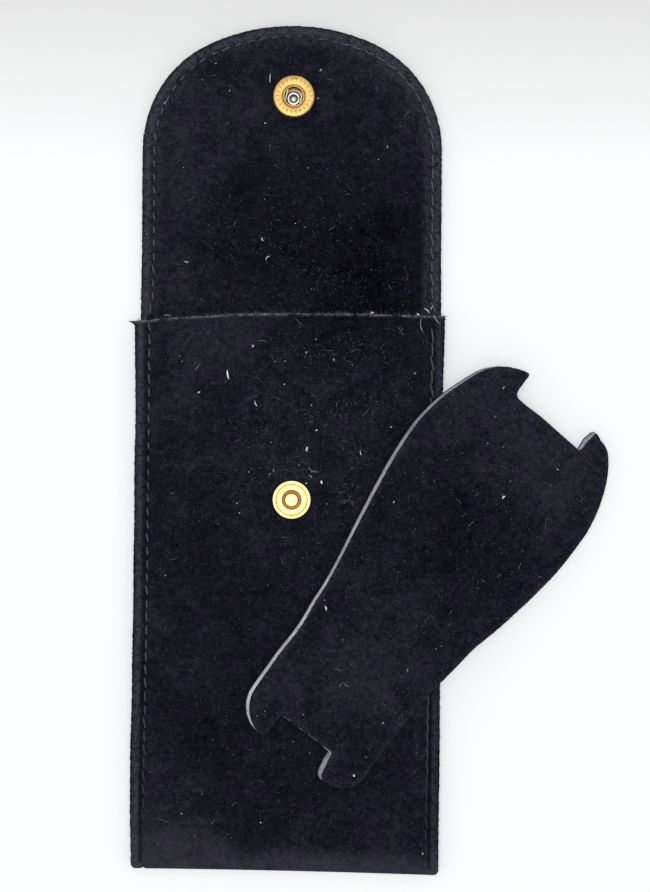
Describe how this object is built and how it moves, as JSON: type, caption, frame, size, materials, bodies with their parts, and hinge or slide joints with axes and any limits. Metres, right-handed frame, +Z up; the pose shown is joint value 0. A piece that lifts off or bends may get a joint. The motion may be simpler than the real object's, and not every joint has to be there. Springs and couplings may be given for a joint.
{
  "type": "watch pouch",
  "caption": "Flat velvet watch pouch with a round snap flap, lying open, and a loose hourglass cradle board with a strap notch at each end.",
  "frame": {"origin": "on the table, at the middle of the underside of the pocket's back", "axes": "+Y along the pouch from the bottom fold to the flap, +X across it to the right, +Z up from the table"},
  "size_m": [0.1217, 0.218, 0.0141],
  "materials": {
    "velvet": "short cut pile, near black",
    "interlining": "pressed felt",
    "thread": "spun polyester",
    "board": "matte grey fibre sheet",
    "gilt_brass": "polished pale gilt",
    "steel": "bright"
  },
  "bodies": {
    "pouch": {"pocket_outer_velvet": "velvet", "pocket_interlining": "interlining", "pocket_lining": "velvet", "left_seam_thread": "thread", "right_seam_thread": "thread", "left_bobbin_thread": "thread", "right_bobbin_thread": "thread", "stud_body": "gilt_brass", "stud_post": "steel"},
    "flap": {"flap_outer_velvet": "velvet", "flap_interlining": "interlining", "flap_lining": "velvet", "flap_edge_thread": "thread", "flap_bobbin_thread": "thread", "socket_shell": "gilt_brass", "socket_base": "steel", "socket_spring": "steel", "cap_rivet": "steel", "snap_cap": "gilt_brass"},
    "cradle_board": {"board_face_velvet": "velvet", "board_core": "board", "board_back_velvet": "velvet"}
  },
  "joints": [
    {"name": "flap_fold", "type": "hinge", "parent": "pouch", "child": "flap", "pos_m": [0, 0.0763, 0.00655], "axis": [1, 0, 0], "range_deg": [0, 178.4]},
    {"name": "insert_lift", "type": "slide", "parent": "pouch", "child": "cradle_board", "axis": [0, 0, 1], "range_m": [0, 0.06]}
  ]
}
